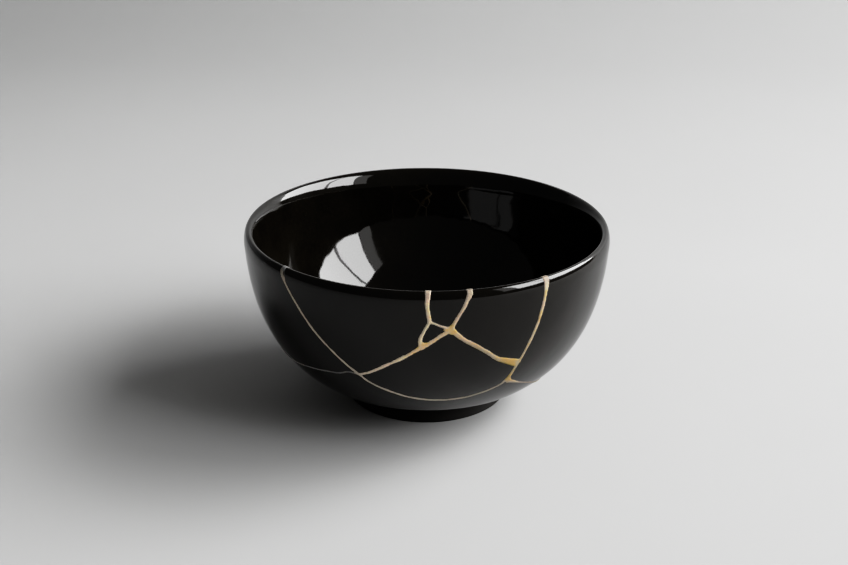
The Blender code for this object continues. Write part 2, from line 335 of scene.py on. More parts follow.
def held(name: str, mesh: bpy.types.Mesh) -> bpy.types.Object:
    """A new object in the scene that holds a mesh.

    Args:
        name: The object's name.
        mesh: The mesh.

    Returns:
        The object.
    """
    holder = bpy.data.objects.new(name, mesh)
    bpy.context.scene.collection.objects.link(holder)
    return holder


def discard(holder: bpy.types.Object) -> None:
    """Removes an object and its mesh.

    Args:
        holder: The object.
    """
    mesh = holder.data
    bpy.data.objects.remove(holder, do_unlink=True)
    bpy.data.meshes.remove(mesh)


def lengths_along(points: np.ndarray) -> np.ndarray:
    """How far along a line each of its points lies, from 0 at the first."""
    return np.concatenate([[0.0], np.cumsum(np.linalg.norm(np.diff(points, axis=0), axis=1))])


def joined(first: bpy.types.Mesh, others: list[bpy.types.Mesh], operation: str) -> bpy.types.Mesh:
    """One closed mesh cut by others or joined to them.

    Args:
        first: The closed mesh that is worked on. It is used up.
        others: Closed meshes, used up in turn.
        operation: UNION, DIFFERENCE or INTERSECT.

    Returns:
        The result.
    """
    holder = held("worked", first)
    tools = [held("tool", other) for other in others]
    for tool in tools:
        boolean = holder.modifiers.new("cut", "BOOLEAN")
        boolean.operation = operation
        boolean.solver = "MANIFOLD"
        boolean.object = tool
    result = evaluated(holder)
    for used in [holder, *tools]:
        discard(used)
    return result


@dataclass
class Glaze:
    """The glazed surface unrolled, with the section's run going from the outer neck over the rim.

    Each run has the surface's radius and height there, and its normal's outward and upward parts.
    """

    form: BowlForm
    step: float = 0.00005
    deepest: float = 0.020
    run: np.ndarray = field(init=False)
    radius: np.ndarray = field(init=False)
    height: np.ndarray = field(init=False)
    outward: np.ndarray = field(init=False)
    upward: np.ndarray = field(init=False)
    rim_run: float = field(init=False)

    def __post_init__(self) -> None:
        """Measures the run along the section and resamples it evenly."""
        points, normals = self.form.skin()
        points, normals = points[::-1], normals[::-1]
        lengths = lengths_along(points)
        self.run = np.arange(0.0, lengths[-1], self.step)
        self.radius, self.height, outward, upward = (
            np.interp(self.run, lengths, values) for values in (*points.T, *normals.T)
        )
        size = np.hypot(outward, upward)
        self.outward, self.upward = outward / size, upward / size
        self.rim_run = float(self.run[np.argmax(self.height)])

    def at(self, bearing: np.ndarray, run: np.ndarray) -> tuple[np.ndarray, np.ndarray]:
        """Places on the glaze and the normals there.

        Args:
            bearing: Degrees from the front.
            run: Metres along the section from the outer neck.

        Returns:
            Points and unit normals, one a row.
        """
        charts = (self.radius, self.height, self.outward, self.upward)
        radius, height, outward, upward = (np.interp(run, self.run, chart) for chart in charts)
        angle = np.radians(bearing)
        across = np.stack([np.sin(angle), -np.cos(angle)], axis=-1)
        points = np.concatenate([radius[..., None] * across, height[..., None]], axis=-1)
        normals = np.concatenate([outward[..., None] * across, upward[..., None]], axis=-1)
        return points, normals

    def outer_run(self, height: np.ndarray) -> np.ndarray:
        """The run at which the outer side reaches a height."""
        outer = self.run <= self.rim_run
        return np.interp(height, self.height[outer], self.run[outer])

    def inner_run(self, height: float) -> float:
        """The run at which the inner side comes down to a height."""
        inner = self.run >= self.rim_run
        return float(np.interp(height, self.height[inner][::-1], self.run[inner][::-1]))

    def straight_in(self, points: np.ndarray, normals: np.ndarray) -> tuple[np.ndarray, np.ndarray]:
        """Where the lines straight in from the outer wall come out inside.

        Args:
            points: Places on the outer wall as radius and height, one a row.
            normals: The wall's outward normals there.

        Returns:
            The run inside and the wall's thickness along each line.
        """
        inner = self.run > self.rim_run
        run = self.run[inner]
        across = self.radius[inner][None, :] - points[:, :1]
        above = self.height[inner][None, :] - points[:, 1:]
        aside = np.abs(across * normals[:, 1:] - above * normals[:, :1])
        depth = -(across * normals[:, :1] + above * normals[:, 1:])
        nearest = np.argmin(np.where((depth > 0.0) & (depth < self.deepest), aside, np.inf), axis=1)
        return run[nearest], depth[np.arange(len(points)), nearest]


@dataclass(frozen=True)
class Seam:
    """One crack and the gold laid over it.

    The two tones and the two spreads hold at the route's start and finish. A spread is the gold's
    width there as a share of the seam's own.
    """

    width: SeamWidth
    tones: tuple[SeamTone, SeamTone]
    route: tuple[Place, ...]
    rim: RimEnd = RimEnd.NONE
    spread: tuple[float, float] = (1.0, 1.0)


@dataclass(frozen=True)
class Fill:
    """A lost corner filled with gold: the places of its corners, with their inside on the left."""

    corners: tuple[Place, ...]
    tone: SeamTone


@dataclass
class CrackMap:
    """Where the bowl broke, with the seams and fills that mend it."""

    form: BowlForm
    glaze: Glaze
    west: Place = (-21.7, 0.492)
    chip_foot: Place = (-1.5, 0.701)
    chip_top: Place = (0.8, 0.850)
    chip_east: Place = (6.8, 0.804)
    east: Place = (29.8, 0.548)
    south_east: Place = (27.4, 0.431)
    rim_west: Place = (-46.2, 1.0)
    rim_chip_west: Place = (0.3, 1.0)
    rim_chip_east: Place = (12.3, 1.0)
    rim_east: Place = (36.2, 1.0)
    station_spacing: float = 0.0012
    wander: float = 0.00013
    wander_length: float = 0.0070
    calm_end: float = 0.0030
    lane_spacing: float = 10.0
    quick_share: float = 0.4
    quick_pace: float = 3.7
    overshoot: float = 0.0020
    rim_overshoot: float = 0.0030

    def seams(self) -> dict[str, Seam]:
        """Every seam by name, the same routes as the solid model's.

        Returns:
            The seams. The last runs round the hidden back, low on the wall.
        """
        fine, plain, broad = SeamWidth.FINE, SeamWidth.PLAIN, SeamWidth.BROAD
        grey, dull, worn, pale, warm, full = SeamTone
        start, finish = RimEnd.START, RimEnd.FINISH
        home = (self.south_east[0] - 360.0, self.south_east[1])
        return {
            # The west seam and the lower arc's west end have a dull tone that is partly rubbed gold
            # and partly painted shade on the side away from the window.
            "west": Seam(
                fine,
                (dull, worn),
                (
                    self.rim_west,
                    (-46.3, 0.970),
                    (-42.1, 0.866),
                    (-36.2, 0.734),
                    (-28.8, 0.601),
                    self.west,
                ),
                start,
                (1.25, 1.25),
            ),
            "lower_arc": Seam(
                fine,
                (dull, pale),
                (
                    self.west,
                    (-18.1, 0.442),
                    (-8.2, 0.369),
                    (1.6, 0.337),
                    (12.7, 0.338),
                    (23.3, 0.385),
                    self.south_east,
                ),
                spread=(1.3, 1.2),
            ),
            "middle_west": Seam(
                plain,
                (pale, warm),
                (self.west, (-18.2, 0.519), (-13.5, 0.567), (-8.5, 0.622), self.chip_foot),
                spread=(0.88, 1.2),
            ),
            "chip_south": Seam(
                plain,
                (warm, warm),
                (self.chip_foot, (3.2, 0.759), self.chip_east),
                spread=(1.2, 1.35),
            ),
            "chip_west": Seam(
                plain,
                (warm, pale),
                (self.chip_foot, (-1.6, 0.755), self.chip_top),
                spread=(1.15, 0.95),
            ),
            "chip_north": Seam(
                fine,
                (pale, pale),
                (self.chip_top, (3.4, 0.830), self.chip_east),
                spread=(1.1, 1.3),
            ),
            "rim_chip_west": Seam(
                plain,
                (warm, pale),
                (self.chip_top, (0.1, 0.940), self.rim_chip_west),
                finish,
                (1.15, 1.2),
            ),
            "rim_chip_east": Seam(
                plain,
                (warm, pale),
                (self.chip_east, (9.4, 0.893), self.rim_chip_east),
                finish,
                (1.1, 1.2),
            ),
            "middle_east": Seam(
                broad,
                (warm, warm),
                (self.chip_east, (11.1, 0.738), (17.6, 0.658), (22.0, 0.596), self.east),
                spread=(1.05, 1.05),
            ),
            "east": Seam(
                plain,
                (warm, warm),
                (self.rim_east, (35.3, 0.880), (33.2, 0.710), self.east),
                start,
                (1.5, 0.95),
            ),
            "south_east": Seam(
                plain,
                (warm, full),
                (self.east, (28.9, 0.500), self.south_east),
                spread=(1.0, 1.15),
            ),
            "back": Seam(
                fine,
                (grey, worn),
                (
                    self.west,
                    (-25.6, 0.496),
                    (-30.4, 0.467),
                    (-42.5, 0.430),
                    (-55.0, 0.395),
                    (-85.0, 0.360),
                    (-115.0, 0.290),
                    (-145.0, 0.205),
                    (-175.0, 0.170),
                    (-205.0, 0.180),
                    (-235.0, 0.195),
                    (-265.0, 0.205),
                    (-290.0, 0.217),
                    (-307.0, 0.260),
                    (-319.0, 0.336),
                    (-328.5, 0.394),
                    home,
                ),
            ),
        }

    def fills(self) -> list[Fill]:
        """The lost corners that are filled with gold, all where seams meet.

        Returns:
            The fills, the two of the lower right corner last.
        """
        return [
            Fill(((-2.9, 0.700), (-0.9, 0.694), (0.9, 0.725), (-1.3, 0.738)), SeamTone.FULL),
            Fill(((4.6, 0.804), (6.7, 0.776), (9.0, 0.776), (7.2, 0.834)), SeamTone.FULL),
            Fill(((22.0, 0.585), (28.7, 0.522), (30.2, 0.566), (23.0, 0.606)), SeamTone.FULL),
            Fill(((26.2, 0.427), (28.6, 0.409), (30.0, 0.414), (28.2, 0.468)), SeamTone.FULL),
            Fill(((27.6, 0.408), (34.5, 0.383), (30.0, 0.424)), SeamTone.WARM),
        ]

    def stations(self, name: str) -> np.ndarray:
        """A seam's route as closely spread stations with the slight wander of a real break.

        Args:
            name: The seam.

        Returns:
            Rows of bearing in degrees and height in metres.
        """
        route = self.seams()[name].route
        corners = np.array([(bearing, level * self.form.height) for bearing, level in route])
        chain = np.vstack([2.0 * corners[0] - corners[1], corners, 2.0 * corners[-1] - corners[-2]])
        smooth = [corners[0]]
        for before, start, end, after in zip(chain, chain[1:], chain[2:], chain[3:]):
            bearings, heights = np.stack([start, end], axis=1)
            ends, _ = self.glaze.at(bearings, self.glaze.outer_run(heights))
            count = max(2, math.ceil(np.linalg.norm(ends[1] - ends[0]) / self.station_spacing))
            share = np.arange(1, count + 1)[:, None] / count
            line = 2.0 * start + share * (end - before)
            bend = share**2 * (2.0 * before - 5.0 * start + 4.0 * end - after)
            turn = share**3 * (-before + 3.0 * start - 3.0 * end + after)
            smooth.extend((line + bend + turn) / 2.0)
        return self.wandering(name, np.array(smooth))

    def wandering(self, name: str, stations: np.ndarray) -> np.ndarray:
        """Stations moved a little off the smooth route, calmly at both ends.

        Args:
            name: The seam, which picks its own wander.
            stations: Rows of bearing and height.

        Returns:
            Rows of bearing and height.
        """
        points, _ = self.glaze.at(stations[:, 0], self.glaze.outer_run(stations[:, 1]))
        gone = lengths_along(points)
        calm = np.clip(np.minimum(gone, gone[-1] - gone) / self.calm_end, 0.0, 1.0)
        lane = self.lane_spacing * list(self.seams()).index(name)
        moved = stations.copy()
        for index, (length, ease) in enumerate(zip(gone, calm)):
            spot = length / self.wander_length
            most = self.wander * ease
            aside = most * noise.noise(Vector((spot, lane, 0.5)))
            above = most * noise.noise(Vector((spot, lane, 7.5)))
            quick_spot = Vector((self.quick_pace * spot, lane, 3.5))
            quick = self.quick_share * most * noise.noise(quick_spot)
            radius = math.hypot(points[index, 0], points[index, 1])
            moved[index, 0] += math.degrees((2.0 * aside + quick) / radius)
            moved[index, 1] += 2.0 * above - quick
        return moved

    def ribbon(self, name: str, width: float) -> bpy.types.Mesh:
        """The crack as a thin closed wall that runs straight through the clay and past its faces.

        Args:
            name: The seam.
            width: The wall's thickness.

        Returns:
            A closed mesh.
        """
        stations = self.stations(name)
        rim = self.seams()[name].rim
        if rim is not RimEnd.NONE:
            stations = stations if rim is RimEnd.FINISH else stations[::-1]
            over = np.array([[stations[-1][0], self.form.height + self.rim_overshoot]])
            lip_top = self.form.height - self.form.lip_drop
            stations = np.vstack([stations[stations[:, 1] < lip_top], over])
        shares = np.array([self.form.share_at(height) for height in stations[:, 1]])
        section, normal = self.form.outer_wall(shares)
        _, depth = self.glaze.straight_in(section, normal)
        depth = np.maximum(depth, self.form.upper_wall)[:, None]
        section[:, 1] = np.maximum(section[:, 1], stations[:, 1])
        angle = np.radians(stations[:, 0])
        mesh = bpy.data.meshes.new(f"{name}_crack")
        sides = []
        for shift in (self.overshoot, -depth - self.overshoot):
            radius, height = (section + shift * normal).T
            across, ahead = radius * np.sin(angle), -radius * np.cos(angle)
            sides.append(np.stack([across, ahead, height], axis=1))
        count = len(stations)
        faces = [(i, i + count, i + count + 1, i + 1) for i in range(count - 1)]
        mesh.from_pydata(np.vstack(sides).tolist(), [], faces)
        holder = held(mesh.name, mesh)
        solid = holder.modifiers.new("width", "SOLIDIFY")
        solid.thickness = width
        solid.offset = 0.0
        solid.use_even_offset = True
        closed = evaluated(holder)
        discard(holder)
        return closed

    def network(self, share: float) -> bpy.types.Mesh:
        """All cracks joined into one closed mesh.

        Args:
            share: The cracks' width as a share of the seams' width.

        Returns:
            A closed mesh.
        """
        widths = {name: share * seam.width.value for name, seam in self.seams().items()}
        ribbons = [self.ribbon(name, width) for name, width in widths.items()]
        return joined(ribbons[0], ribbons[1:], "UNION")


@dataclass
class Shards:
    """The seven glazed shards, cut from one turned bowl."""

    form: BowlForm
    cracks: CrackMap
    crack_share: float = 0.55
    soft_bend: float = 25.0
    smooth_limit: float = math.radians(40.0)

    def places(self) -> dict[str, tuple[str, Place]]:
        """Where each shard lies.

        Returns:
            By the shard's piece name, the solid it stands for and a place on it.
        """
        return {
            "glazed_base": ("base_shard", (0.0, 0.15)),
            "glazed_back_wall": ("back_wall_shard", (180.0, 0.80)),
            "glazed_left_front": ("left_front_shard", (-25.0, 0.80)),
            "glazed_rim_chip": ("rim_chip_shard", (5.0, 0.92)),
            "glazed_small_triangle": ("small_triangle_shard", (2.0, 0.800)),
            "glazed_right_front": ("right_front_shard", (22.0, 0.85)),
            "glazed_lower_front": ("lower_front_shard", (5.0, 0.50)),
        }

    def bodies(self, mesh: bpy.types.Mesh) -> list[bpy.types.Mesh]:
        """The separate bodies of a mesh.

        Args:
            mesh: The mesh, which is used up.

        Returns:
            One mesh for each body.
        """
        whole = bmesh.new()
        whole.from_mesh(mesh)
        bpy.data.meshes.remove(mesh)
        left = set(whole.faces)
        groups = []
        while left:
            frontier = [left.pop()]
            group = {frontier[0].index}
            while frontier:
                for edge in frontier.pop().edges:
                    for neighbour in edge.link_faces:
                        if neighbour in left:
                            left.remove(neighbour)
                            group.add(neighbour.index)
                            frontier.append(neighbour)
            groups.append(group)
        found = []
        for group in groups:
            part = whole.copy()
            others = [face for face in part.faces if face.index not in group]
            bmesh.ops.delete(part, geom=others, context="FACES")
            body = bpy.data.meshes.new("shard")
            part.to_mesh(body)
            part.free()
            found.append(body)
        whole.free()
        return found

    def side_normals(self, section: np.ndarray) -> tuple[np.ndarray, np.ndarray]:
        """The section's normals at both ends of each side, shared over its soft bends.

        Args:
            section: The section's points, one a row.

        Returns:
            The normals at the sides' starts and at their ends, one a row.
        """
        sides = np.diff(section, axis=0)
        sides /= np.linalg.norm(sides, axis=1)[:, None]
        flat = np.stack([-sides[:, 1], sides[:, 0]], axis=1)
        bend = np.degrees(np.arccos(np.clip((flat[1:] * flat[:-1]).sum(axis=1), -1.0, 1.0)))
        mean = flat[1:] + flat[:-1]
        mean /= np.linalg.norm(mean, axis=1)[:, None]
        soft = (bend < self.soft_bend)[:, None]
        starts, ends = flat.copy(), flat.copy()
        starts[1:] = np.where(soft, mean, flat[1:])
        ends[:-1] = np.where(soft, mean, flat[:-1])
        return starts, ends

    def smooth_glaze(self, mesh: bpy.types.Mesh) -> None:
        """Gives the glazed faces the turned form's normals, so that gloss runs over them unbroken.

        Args:
            mesh: A shard. Its broken edges keep their faces' normals.
        """
        section = self.form.section()
        starts, ends = self.side_normals(section)
        corners = np.empty(len(mesh.loops), np.int32)
        mesh.loops.foreach_get("vertex_index", corners)
        spots = np.empty(3 * len(mesh.vertices))
        mesh.vertices.foreach_get("co", spots)
        spots = spots.reshape(-1, 3)
        facing = np.empty(3 * len(mesh.polygons))
        mesh.polygons.foreach_get("normal", facing)
        facing = facing.reshape(-1, 3)
        totals = np.empty(len(mesh.polygons), np.int32)
        mesh.polygons.foreach_get("loop_total", totals)
        owner = np.repeat(np.arange(len(mesh.polygons)), totals)
        centres = np.zeros((len(mesh.polygons), 3))
        np.add.at(centres, owner, spots[corners])
        centres /= totals[:, None]
        flat_place = np.stack([np.hypot(centres[:, 0], centres[:, 1]), centres[:, 2]], axis=1)
        nearest = self.nearest_side(section, flat_place)
        radius = np.hypot(spots[:, 0], spots[:, 1])
        place = np.stack([radius, spots[:, 2]], axis=1)[corners]
        side = nearest[owner]
        start, reach = section[:-1][side], np.diff(section, axis=0)[side]
        along = ((place - start) * reach).sum(axis=1) / (reach**2).sum(axis=1)
        along = np.clip(along, 0.0, 1.0)[:, None]
        turned = starts[side] * (1.0 - along) + ends[side] * along
        turned /= np.linalg.norm(turned, axis=1)[:, None]
        safe = np.maximum(radius[corners], 1e-9)
        across = spots[corners][:, :2] / safe[:, None]
        normals = np.concatenate([turned[:, :1] * across, turned[:, 1:]], axis=1)
        agree = (normals * facing[owner]).sum(axis=1) > math.cos(self.smooth_limit)
        normals = np.where(agree[:, None], normals, facing[owner])
        mesh.shade_smooth()
        mesh.normals_split_custom_set(normals.tolist())

    def nearest_side(self, section: np.ndarray, places: np.ndarray) -> np.ndarray:
        """The section's side nearest to each place.

        Args:
            section: The section's points, one a row.
            places: Radius and height, one place a row.

        Returns:
            The index of a side for each place.
        """
        best = np.full(len(places), np.inf)
        index = np.zeros(len(places), np.int32)
        for number, (start, end) in enumerate(zip(section, section[1:])):
            reach = end - start
            along = np.clip((places - start) @ reach / (reach @ reach), 0.0, 1.0)
            away = ((places - start - along[:, None] * reach) ** 2).sum(axis=1)
            closer = away < best
            best[closer] = away[closer]
            index[closer] = number
        return index

    def build(self, finish: bpy.types.Material) -> list[bpy.types.Object]:
        """Breaks the bowl along its cracks.

        Args:
            finish: The glaze.

        Returns:
            The shards.
        """
        whole = joined(self.form.turned(), [self.cracks.network(self.crack_share)], "DIFFERENCE")
        bodies = self.bodies(whole)
        trees = []
        for body in bodies:
            shape = bmesh.new()
            shape.from_mesh(body)
            trees.append(BVHTree.FromBMesh(shape))
            shape.free()
        pieces = []
        glaze = self.cracks.glaze
        for name, (node, (bearing, level)) in self.places().items():
            run = glaze.outer_run(np.array([level * self.form.height]))
            spot = Vector(glaze.at(np.array([bearing]), run)[0][0])
            chosen = min(range(len(bodies)), key=lambda number: trees[number].find_nearest(spot)[3])
            mesh = bodies[chosen]
            self.smooth_glaze(mesh)
            mesh.materials.clear()
            mesh.materials.append(finish)
            piece = held(name, mesh)
            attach(piece, "root")
            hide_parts(node)
            LOG.info("%s: %d faces", name, len(mesh.polygons))
            pieces.append(piece)
        return pieces


@dataclass
class GoldSeams:
    """The gold lacquer: one branching bead over the cracks, with ribs of lacquer down into them."""

    form: BowlForm
    glaze: Glaze
    cracks: CrackMap
    cell: float = 0.00025
    rise: float = 0.00018
    shoulder: float = 0.00032
    hem: float = 0.00009
    root: float = 0.00035
    flow: float = 0.00045
    swell: float = 0.16
    swell_length: float = 0.0045
    frayed: float = 0.00007
    frayed_length: float = 0.0011
    lumpy: float = 0.00003
    rim_flare: float = 0.00055
    flare_reach: float = 0.0050
    rim_rub: float = 0.46
    rib_share: float = 0.54
    rib_depth: float = 0.00015
    outside: float = -1.0
    fray_hems: float = 4.0
    tone_reach: float = 0.004
    tone_mixing: float = 0.0004
    least_steepness: float = 0.25
    hem_travel: float = 0.8
    lump_stretch: float = 1.5
    sharp_angle: float = math.radians(50.0)

    def columns(self) -> int:
        """How many columns of cells go round the bowl."""
        return round(2.0 * math.pi * self.form.rim_radius / self.cell)

    def rows(self) -> int:
        """How many rows of cells cover the glaze from the outer neck to the inner foot."""
        return int(self.glaze.run[-1] / self.cell)

    def chains(self, name: str) -> list[np.ndarray]:
        """A seam's lines over the glaze, inside and out.

        Args:
            name: The seam.

        Returns:
            Lines as rows of bearing in degrees and run in metres.
        """
        stations = self.cracks.stations(name)
        shares = np.array([self.form.share_at(height) for height in stations[:, 1]])
        section, normal = self.form.outer_wall(shares)
        outer = np.stack([stations[:, 0], self.glaze.outer_run(stations[:, 1])], axis=1)
        inner = np.stack([stations[:, 0], self.glaze.straight_in(section, normal)[0]], axis=1)
        rim = self.cracks.seams()[name].rim
        if rim is RimEnd.NONE:
            return [outer, inner]
        if rim is RimEnd.START:
            outer, inner = outer[::-1], inner[::-1]
        crest = self.glaze.rim_run
        lip_end = self.glaze.inner_run(self.form.height - self.form.lip_roll)
        outer = outer[outer[:, 1] < crest - self.cracks.station_spacing / 2.0]
        inner = inner[inner[:, 1] > lip_end]
        over = np.arange(crest, lip_end, self.cracks.station_spacing / 2.0)
        share = (over - crest) / (lip_end - crest)
        bearing = outer[-1, 0] + share**2 * (inner[-1, 0] - outer[-1, 0])
        chain = np.vstack([outer, np.stack([bearing, over], axis=1), inner[::-1]])
        return [chain if rim is RimEnd.FINISH else chain[::-1]]

    def cells_near(self, bearing: float, run: float, reach: float) -> tuple[np.ndarray, np.ndarray]:
        """The cells' corners within a reach of a place.

        Args:
            bearing: Degrees from the front.
            run: Metres along the section.
            reach: Metres.

        Returns:
            Rows and columns, as index arrays that can be used together.
        """
        radius = float(np.interp(run, self.glaze.run, self.glaze.radius)) - reach
        row = run / self.cell
        column = (bearing % 360.0) / 360.0 * self.columns()
        tall = math.ceil(reach / self.cell) + 1
        wide = math.ceil(reach / (2.0 * math.pi * radius / self.columns())) + 1
        rows = np.arange(max(0, int(row) - tall), min(self.rows(), int(row) + tall + 1) + 1)
        columns = np.arange(int(column) - wide, int(column) + wide + 2) % self.columns()
        return np.ix_(rows, columns)

    def depths(self) -> tuple[np.ndarray, np.ndarray]:
        """How far inside the gold each cell corner lies, and the gold's tone there.

        Returns:
            Depth in metres, negative outside, and tone, both by row and column.
        """
        shape = (self.rows() + 1, self.columns())
        depth = np.full(shape, self.outside)
        tone = np.zeros(shape)
        weight = np.zeros(shape)
        bearings = np.arange(self.columns()) * 360.0 / self.columns()
        runs = np.arange(self.rows() + 1) * self.cell
        grid, _ = self.glaze.at(*np.broadcast_arrays(bearings[None, :], runs[:, None]))
        for number, name in enumerate(self.cracks.seams()):
            self.flow_together(depth, tone, weight, *self.laid(number, name, grid))
        for fill in self.cracks.fills():
            own_tone = np.full(shape, fill.tone.value)
            self.flow_together(depth, tone, weight, self.filled(fill, shape), own_tone)
        for row, column in np.argwhere(depth > -self.fray_hems * self.hem):
            spot = Vector(grid[row, column])
            rough = noise.noise(spot / self.frayed_length)
            fine = noise.noise(spot * 2.3 / self.frayed_length)
            depth[row, column] += self.frayed * (rough + 0.5 * fine)
        return depth, tone / np.maximum(weight, 1e-12)

    def laid(self, number: int, name: str, grid: np.ndarray) -> tuple[np.ndarray, np.ndarray]:
        """How far inside one seam's gold each cell corner lies, and that seam's tone there.

        Args:
            number: The seam's number, which picks its own swelling.
            name: The seam.
            grid: The cell corners' places on the glaze.

        Returns:
            Depth in metres, far below nought away from the seam, and tone.
        """
        seam = self.cracks.seams()[name]
        own = np.full(grid.shape[:2], self.outside)
        own_tone = np.zeros(grid.shape[:2])
        for lane, chain in enumerate(self.chains(name)):
            points, _ = self.glaze.at(chain[:, 0], chain[:, 1])
            gone = lengths_along(points)
            for index in range(len(points) - 1):
                spot = Vector((gone[index] / self.swell_length, 4.0 * number, 3.0 * lane))
                swelling = 1.0 + 2.0 * self.swell * noise.noise(spot)
                share = gone[index] / gone[-1]
                laid = seam.spread[0] * (1.0 - share) + seam.spread[1] * share
                from_rim = abs(chain[index, 1] - self.glaze.rim_run)
                on_rim = max(0.0, 1.0 - from_rim / self.flare_reach)
                half = laid * seam.width.value / 2.0 * swelling + self.rim_flare * on_rim
                middle = (chain[index] + chain[index + 1]) / 2.0
                cells = self.cells_near(*middle, SeamWidth.BROAD.value)
                line = points[index + 1] - points[index]
                out = grid[cells] - points[index]
                along = np.clip(out @ line / (line @ line), 0.0, 1.0)
                inside = half - np.linalg.norm(out - along[..., None] * line, axis=-1)
                better = inside > own[cells]
                own[cells] = np.where(better, inside, own[cells])
                shade = seam.tones[0].value * (1.0 - share) + seam.tones[1].value * share
                shade -= self.rim_rub * on_rim
                own_tone[cells] = np.where(better, shade, own_tone[cells])
        return own, own_tone

    def filled(self, fill: Fill, shape: tuple[int, int]) -> np.ndarray:
        """How far inside a filled corner each cell corner lies.

        Args:
            fill: The filled corner.
            shape: The rows and columns.

        Returns:
            Depth in metres, far below nought away from the fill.
        """
        bearing, level = np.array(fill.corners).T
        run = self.glaze.outer_run(level * self.form.height)
        middle = (float(bearing.mean()), float(run.mean()))
        degree = math.radians(float(np.interp(middle[1], self.glaze.run, self.glaze.radius)))
        across, up = (bearing - middle[0]) * degree, run - middle[1]
        cells = self.cells_near(*middle, float(np.hypot(across, up).max()) + self.flow)
        turn = (cells[1] * 360.0 / shape[1] - middle[0] + 180.0) % 360.0 - 180.0
        east, north = turn * degree, cells[0] * self.cell - middle[1]
        inside = np.full(np.broadcast_shapes(east.shape, north.shape), np.inf)
        for number in range(len(bearing)):
            side = (across[number] - across[number - 1], up[number] - up[number - 1])
            away = side[0] * (north - up[number]) - side[1] * (east - across[number])
            inside = np.minimum(inside, away / math.hypot(*side))
        own = np.full(shape, self.outside)
        own[cells] = inside
        return own

    def flow_together(
        self,
        depth: np.ndarray,
        tone: np.ndarray,
        weight: np.ndarray,
        own: np.ndarray,
        own_tone: np.ndarray,
    ) -> None:
        """Adds a seam to the whole, with a soft fillet where it meets the others.

        Args:
            depth: The whole's depth, changed in place.
            tone: The whole's weighted tone, changed in place.
            weight: The whole's weight, changed in place.
            own: The seam's depth.
            own_tone: The seam's tone.
        """
        blend = np.clip(self.flow - np.abs(depth - own), 0.0, None) / self.flow
        fillet = np.where(own > -self.flow, blend**2 * self.flow / 4.0, 0.0)
        depth[:] = np.maximum(depth, own) + fillet
        held_depth = np.clip(own, -self.tone_reach, self.tone_reach)
        share = np.exp(held_depth / self.tone_mixing) * (own > self.outside / 2.0)
        tone += share * own_tone
        weight += share

    def kept_cells(self, depth: np.ndarray) -> np.ndarray:
        """The cells that the gold covers, with none that touch by a corner alone.

        Args:
            depth: Depth by row and column.

        Returns:
            True for each cell that is kept.
        """
        under = depth > -self.hem
        beside = np.roll(under, -1, axis=1)
        kept = (under & beside)[:-1] & (under & beside)[1:]
        while True:
            right = np.roll(kept, -1, axis=1)
            falling = kept[:-1] & right[1:] & ~right[:-1] & ~kept[1:]
            rising = right[:-1] & kept[1:] & ~kept[:-1] & ~right[1:]
            if not falling.any() and not rising.any():
                return kept
            kept[1:] |= falling
            kept[:-1] |= rising

    def bead(self) -> bpy.types.Mesh:
        """The raised gold as a closed mesh that lies over the glaze and a little way into it.

        Returns:
            The mesh, with the tone of each point.
        """
        depth, tone = self.depths()
        kept = self.kept_cells(depth)
        columns = self.columns()
        cells = np.argwhere(kept)
        row, column = cells[:, 0], cells[:, 1]
        beside = (column + 1) % columns
        here, above = row * columns, (row + 1) * columns
        quads = np.stack([here + column, here + beside, above + beside, above + column], axis=1)
        used, corner = np.unique(quads, return_inverse=True)
        corner = corner.reshape(-1, 4)
        used_row, used_column = used // columns, used % columns
        bearing, run, inside = self.drawn_to_hem(depth, kept, used_row, used_column)
        points, normals = self.glaze.at(bearing, run)
        height = np.array([self.relief(value) for value in inside])
        lump_length = self.lump_stretch * self.frayed_length
        for index in np.flatnonzero(inside > 0.0):
            ease = min(1.0, inside[index] / self.shoulder)
            height[index] += self.lumpy * ease * noise.noise(Vector(points[index]) / lump_length)
        top = points + height[:, None] * normals
        bottom = points - self.root * normals
        count = len(used)
        under = corner[:, ::-1] + count
        sides = []
        for first, second, step in (
            (0, 1, (-1, 0)),
            (1, 2, (0, 1)),
            (2, 3, (1, 0)),
            (3, 0, (0, -1)),
        ):
            near_row = row + step[0]
            near_column = (column + step[1]) % columns
            within = (near_row >= 0) & (near_row < kept.shape[0])
            open_side = ~within
            open_side[within] = ~kept[near_row[within], near_column[within]]
            start, end = corner[open_side, first], corner[open_side, second]
            sides.append(np.stack([end, start, start + count, end + count], axis=1))
        faces = np.vstack([corner, under, *sides])
        mesh = bpy.data.meshes.new("gold_bead")
        mesh.from_pydata(np.vstack([top, bottom]).tolist(), [], faces.tolist())
        mesh.update()
        tones = mesh.attributes.new("tone", "FLOAT", "POINT")
        tones.data.foreach_set("value", np.tile(tone[used_row, used_column], 2).astype(np.float32))
        return mesh

